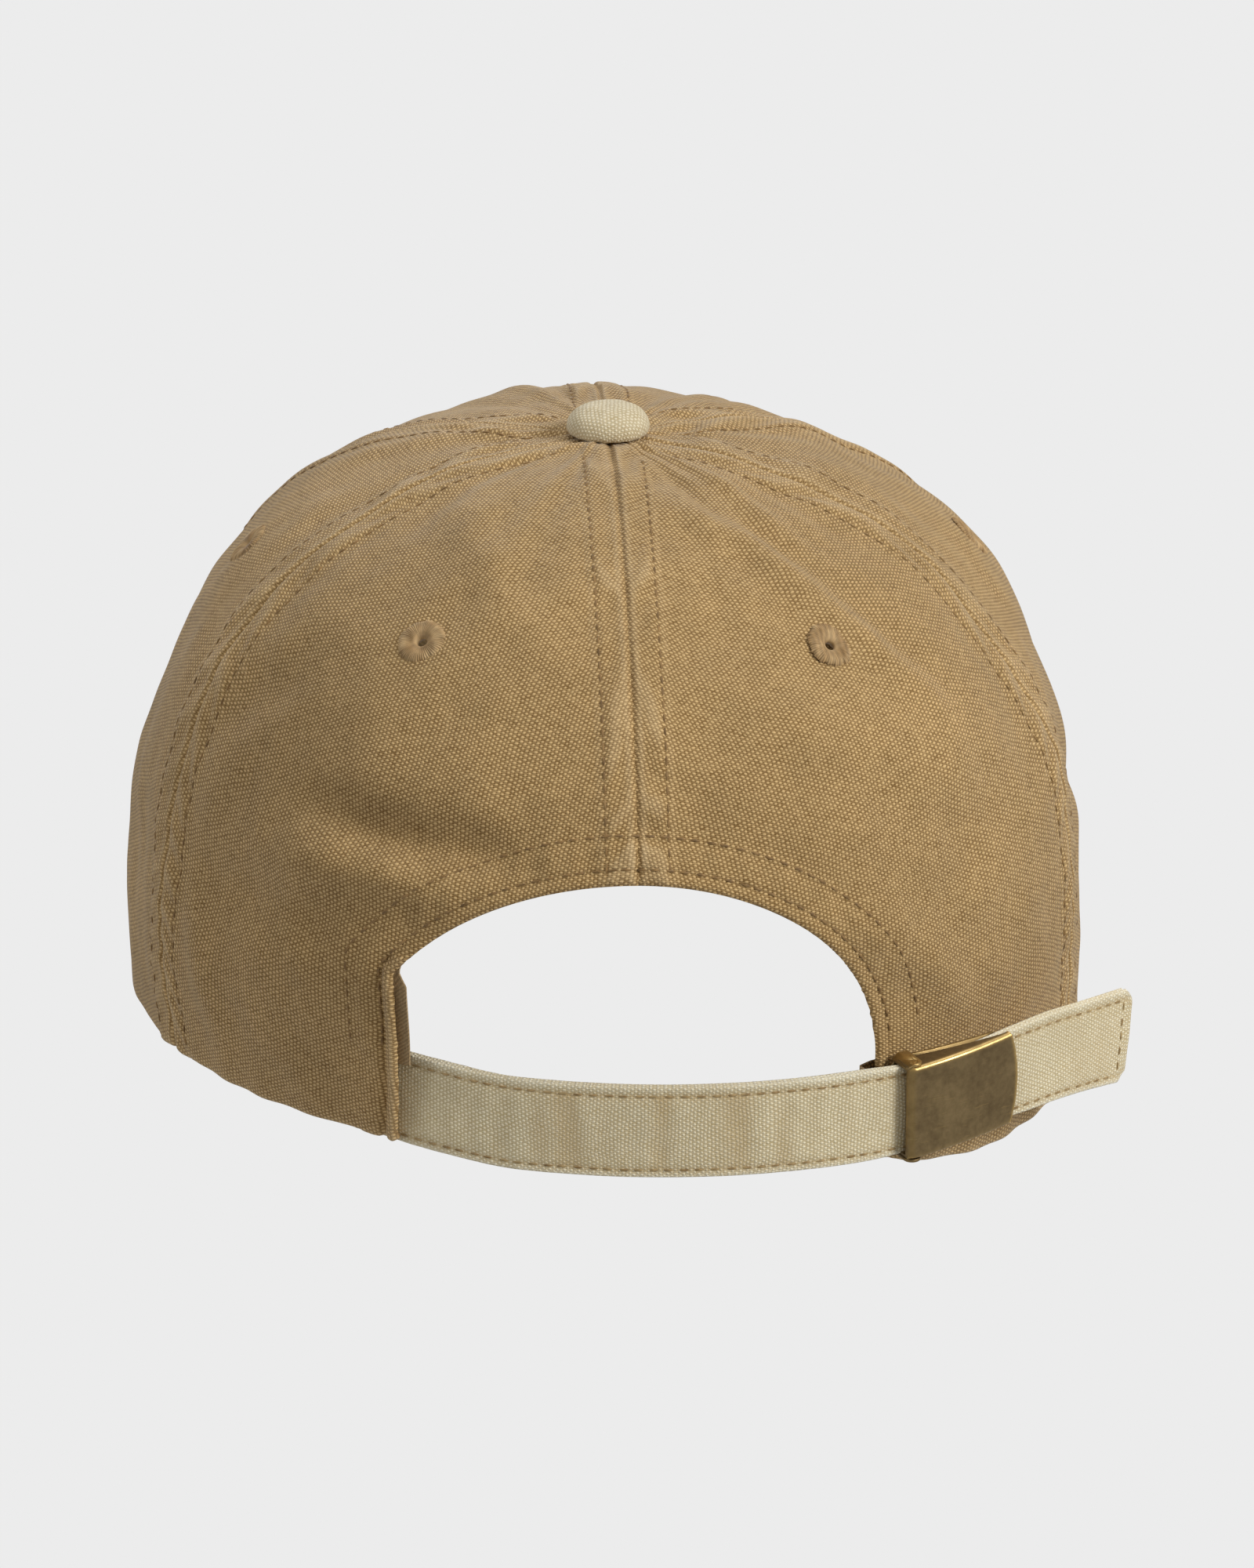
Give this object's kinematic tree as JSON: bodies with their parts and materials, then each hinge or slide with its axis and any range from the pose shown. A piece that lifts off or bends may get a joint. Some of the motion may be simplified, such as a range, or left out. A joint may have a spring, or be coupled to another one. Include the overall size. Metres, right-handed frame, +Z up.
{
  "type": "baseball cap",
  "caption": "Soft baseball cap with a curved visor, sewn vent eyelets, a covered top button and an arched rear opening closed by a cloth strap in a hinged brass clamp buckle.",
  "frame": {"origin": "middle of the head opening, level with the mean hem", "axes": "+Z up through the crown, -Y along the visor, +X to the wearer's left"},
  "size_m": [0.1717, 0.2619, 0.1257],
  "materials": {
    "tan_canvas": "washed plain-weave cotton canvas",
    "tan_thread": "buttonhole thread",
    "cream_canvas": "washed plain-weave cotton canvas",
    "cotton_tape": "twill tape",
    "sweatband_twill": "cotton twill",
    "interlining": "non-woven",
    "visor_plastic": "moulded sheet",
    "steel": "plain",
    "antique_brass": "antiqued and rubbed at the edges",
    "white_satin": "woven label"
  },
  "bodies": {
    "cap": {"buckle_base": "antique_brass", "buckle_pin": "antique_brass", "buckle_tab": "cream_canvas", "button_cover": "cream_canvas", "button_shank": "steel", "button_shell": "steel", "button_washer": "steel", "care_label": "white_satin", "eyelet_front_left": "tan_thread", "eyelet_front_right": "tan_thread", "eyelet_rear_left": "tan_thread", "eyelet_rear_right": "tan_thread", "eyelet_side_left": "tan_thread", "eyelet_side_right": "tan_thread", "opening_facing": "cotton_tape", "panel_front_left": "tan_canvas", "panel_front_right": "tan_canvas", "panel_rear_left": "tan_canvas", "panel_rear_right": "tan_canvas", "panel_side_left": "tan_canvas", "panel_side_right": "tan_canvas", "seam_tape_front": "cotton_tape", "seam_tape_front_left": "cotton_tape", "seam_tape_front_right": "cotton_tape", "seam_tape_rear": "cotton_tape", "seam_tape_rear_left": "cotton_tape", "seam_tape_rear_right": "cotton_tape", "sweatband": "sweatband_twill", "sweatband_interlining": "interlining", "visor_board": "visor_plastic", "visor_top_cloth": "cream_canvas", "visor_under_cloth": "cream_canvas"},
    "strap": {"strap_front_ply": "cream_canvas", "strap_back_ply": "cream_canvas"},
    "lever": {"buckle_lever": "antique_brass"}
  },
  "joints": [
    {"name": "strap_adjust", "type": "hinge", "parent": "cap", "child": "strap", "pos_m": [-0.0095, 0.0055, 0.0124], "axis": [0, 0, 1], "range_deg": [-12, 15]},
    {"name": "lever_open", "type": "hinge", "parent": "cap", "child": "lever", "pos_m": [-0.04665, 0.09054, 0.0124], "axis": [0, 0, -1], "range_deg": [0, 100]}
  ]
}
